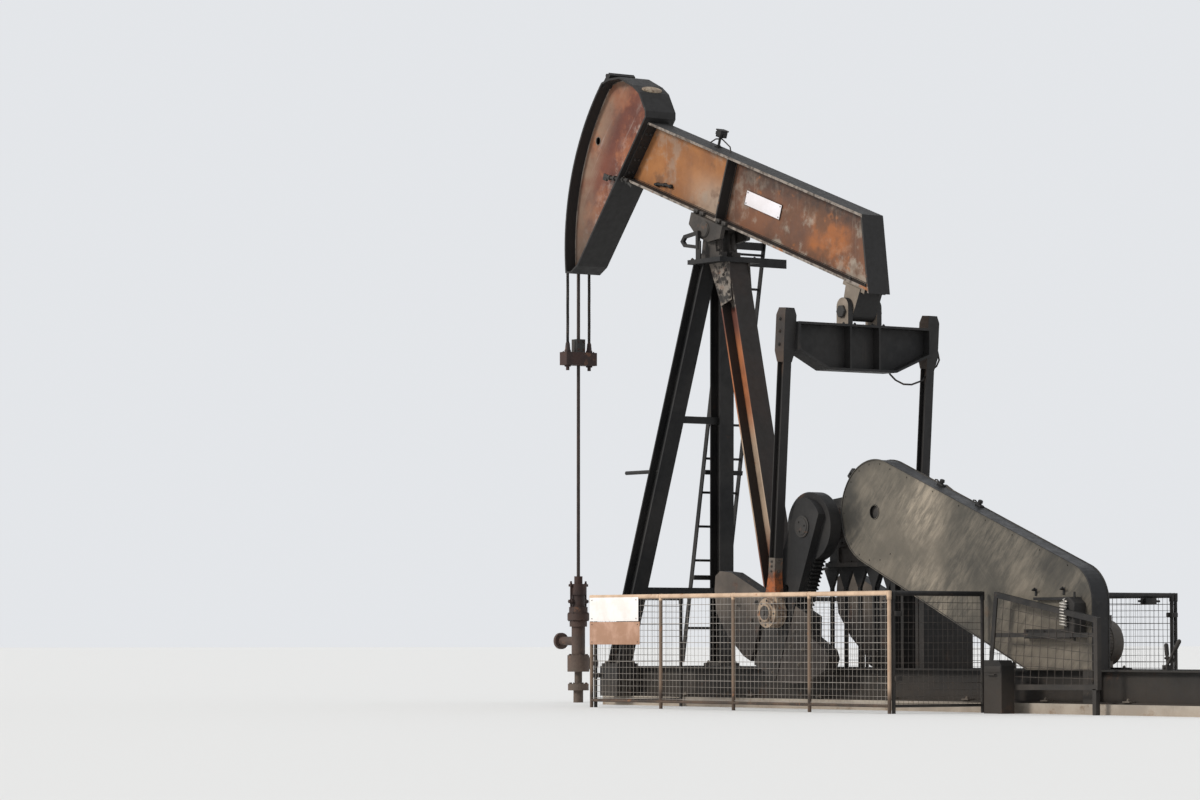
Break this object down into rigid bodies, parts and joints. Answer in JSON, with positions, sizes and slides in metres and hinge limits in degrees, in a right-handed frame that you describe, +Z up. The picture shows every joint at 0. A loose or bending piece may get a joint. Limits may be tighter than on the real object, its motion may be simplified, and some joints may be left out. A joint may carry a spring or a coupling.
{
  "type": "pumpjack",
  "caption": "Crank-balanced oil well pumping unit with horse head, walking beam, samson post, gearbox, cranks with counterweights, belt guard, guard fence and wellhead.",
  "frame": {"origin": "ground level on the centreline, straight below the beam's centre bearing, on the underside of the foundation", "axes": "+X horizontal along the beam, from the centre bearing towards the motor; the well is on -X. +Z up. +Y to the side away from the belt guard."},
  "size_m": [9.397, 3.046, 5.695],
  "materials": {
    "concrete": "matte",
    "skid_paint": "matte",
    "black_paint": "satin",
    "rusty_leg": "matte",
    "rusty_plate": "matte",
    "cast_grey": "rough",
    "galvanised": "dull",
    "fence_tan": "matte",
    "fence_dark": "matte",
    "sign": "matte",
    "well_rust": "rusty",
    "rod_steel": "polished",
    "wire": "greased"
  },
  "bodies": {
    "frame": {"foundation": "concrete", "skid": "skid_paint", "front_leg_near": "black_paint", "front_leg_far": "black_paint", "rear_leg": "rusty_leg", "post_cap": "black_paint", "post_braces": "black_paint", "ladder": "black_paint", "bearing_blocks": "cast_grey", "hand_ring": "black_paint", "gearbox": "cast_grey", "gearbox_stand": "black_paint", "sheave": "cast_grey", "belt_guard": "galvanised", "motor": "cast_grey", "motor_base": "skid_paint", "switch_box": "black_paint", "cable_box": "skid_paint", "brake_levers": "black_paint", "fence_near": "fence_tan", "fence_far": "fence_dark", "fence_returns": "fence_dark", "leaning_panel": "fence_dark", "sign_boards": "sign", "wellhead": "well_rust", "stuffing_box": "well_rust"},
    "beam": {"walking_beam": "rusty_plate", "horse_head": "rusty_plate", "center_saddle": "cast_grey", "tail_hanger": "cast_grey", "sensor_box": "black_paint", "track_wires": "wire"},
    "equalizer": {"equalizer_beam": "black_paint", "equalizer_bearing": "cast_grey", "pitman_near": "black_paint", "pitman_far": "black_paint", "wrist_near": "cast_grey", "wrist_far": "cast_grey"},
    "cranks": {"wrist_pins": "cast_grey", "crankshaft": "cast_grey", "crank_near": "black_paint", "crank_far": "black_paint", "weights_near": "black_paint", "weights_far": "black_paint"},
    "rod": {"carrier_bar": "well_rust", "rod_clamp": "cast_grey", "polished_rod": "rod_steel", "hanging_wires": "wire"}
  },
  "joints": [
    {"name": "crank_turn", "type": "hinge", "parent": "frame", "child": "cranks", "pos_m": [2.05, 0, 1.5], "axis": [0, 1, 0], "range_deg": [0, 156.33]},
    {"name": "beam_swing", "type": "hinge", "parent": "frame", "child": "beam", "pos_m": [0, 0, 4.15], "axis": [0, -1, 0], "range_deg": [-0.2, 41.4]},
    {"name": "equalizer_swing", "type": "hinge", "parent": "beam", "child": "equalizer", "pos_m": [1.93487, 0, 3.30639], "axis": [0, -1, 0], "range_deg": [-36.51, 0.2]},
    {"name": "rod_stroke", "type": "slide", "parent": "frame", "child": "rod", "axis": [0, 0, -1], "range_m": [-0.005, 1.5485], "deforming": ["hanging_wires", "polished_rod"]}
  ],
  "couplings": [
    {"joint": "beam_swing", "follows": "crank_turn", "ratio": 0.26355},
    {"joint": "equalizer_swing", "follows": "crank_turn", "ratio": -0.23224},
    {"joint": "rod_stroke", "follows": "crank_turn", "m_per_rad": 0.5657}
  ]
}
